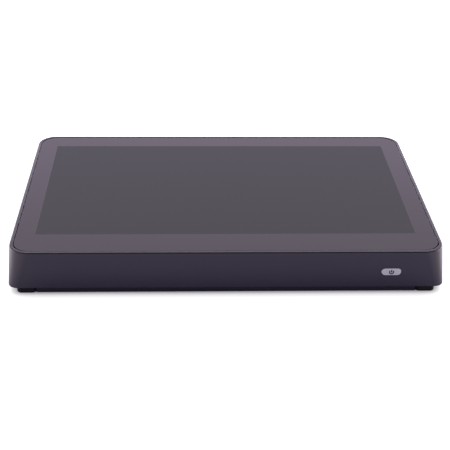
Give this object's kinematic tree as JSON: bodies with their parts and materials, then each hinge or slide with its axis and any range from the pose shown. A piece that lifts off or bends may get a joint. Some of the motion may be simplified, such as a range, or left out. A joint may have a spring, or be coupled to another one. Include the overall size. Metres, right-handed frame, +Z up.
{
  "type": "point-of-sale terminal",
  "caption": "Flat touch-screen shop terminal with a flush glass front in a rounded moulded housing, a power button in the front wall, rear sockets and rubber feet.",
  "frame": {"origin": "on the surface it lies on, under the middle of the terminal's box", "axes": "+X to the right of a person at the screen, +Y away from them towards the sockets, +Z up out of the screen"},
  "size_m": [0.389, 0.2578, 0.0422],
  "materials": {
    "housing_plastic": "fine satin moulded surface, dark purple-grey",
    "cover_plastic": "fine matte moulded surface, near black",
    "black_glass": "polished, with a grey-purple printed border on its back",
    "gasket_foam": "black adhesive foam",
    "foot_rubber": "matte black moulded rubber",
    "button_silver": "satin silver paint",
    "switch_plastic": "plain black moulding",
    "panel_film": "anti-glare film on the display cell",
    "sheet_steel": "bare galvanised sheet",
    "fin_aluminium": "bare extruded and sawn",
    "board_laminate": "green solder mask",
    "chip_resin": "moulded package",
    "pad_silicone": "soft grey pad",
    "cell_steel": "bright can",
    "socket_steel": "tinned shell",
    "insert_brass": "knurled insert",
    "screw_steel": "black oxide",
    "ribbon_film": "amber film"
  },
  "bodies": {
    "terminal": {"housing": "housing_plastic", "bottom_cover": "cover_plastic", "service_hatch": "cover_plastic", "cover_glass": "black_glass", "glass_gasket": "gasket_foam", "foot_front_left": "foot_rubber", "foot_front_right": "foot_rubber", "foot_rear_left": "foot_rubber", "foot_rear_right": "foot_rubber", "button_guide": "switch_plastic", "switch_body": "switch_plastic", "memory_socket": "switch_plastic", "coin_cell_holder": "switch_plastic", "speaker_left": "switch_plastic", "speaker_right": "switch_plastic", "dc_inlet": "switch_plastic", "drawer_socket": "switch_plastic", "audio_socket": "switch_plastic", "display_panel": "panel_film", "display_backlight": "sheet_steel", "display_rail_left": "sheet_steel", "display_rail_right": "sheet_steel", "chassis_plate": "sheet_steel", "socket_bracket": "sheet_steel", "heat_sink": "fin_aluminium", "display_driver_board": "board_laminate", "mainboard": "board_laminate", "memory_module": "board_laminate", "storage_drive": "board_laminate", "wireless_card": "board_laminate", "switch_board": "board_laminate", "touch_controller_board": "board_laminate", "processor": "chip_resin", "thermal_pad": "pad_silicone", "coin_cell": "cell_steel", "serial_socket": "socket_steel", "video_socket": "socket_steel", "network_socket": "socket_steel", "peripheral_socket_1": "socket_steel", "peripheral_socket_2": "socket_steel", "peripheral_socket_3": "socket_steel", "stand_insert_front_left": "insert_brass", "stand_insert_front_right": "insert_brass", "stand_insert_rear_left": "insert_brass", "stand_insert_rear_right": "insert_brass", "cover_screw_front_left": "screw_steel", "cover_screw_front_right": "screw_steel", "cover_screw_rear_left": "screw_steel", "cover_screw_rear_right": "screw_steel", "hatch_screw_front": "screw_steel", "hatch_screw_rear": "screw_steel", "antenna_left": "ribbon_film", "antenna_right": "ribbon_film", "display_cable": "ribbon_film", "touch_cable": "ribbon_film"},
    "button": {"power_button": "button_silver"},
    "plunger": {"switch_plunger": "switch_plastic"}
  },
  "joints": [
    {"name": "power_button_press", "type": "slide", "parent": "terminal", "child": "button", "axis": [0, 0.9994, -0.0349], "range_m": [0, 0.0007], "stiffness_N_per_m": 1200, "springref_m": -0.0003},
    {"name": "switch_plunger_press", "type": "slide", "parent": "terminal", "child": "plunger", "axis": [0, 0.9994, -0.0349], "range_m": [0, 0.0007]}
  ],
  "couplings": [
    {"joint": "switch_plunger_press", "follows": "power_button_press", "ratio": 1}
  ]
}
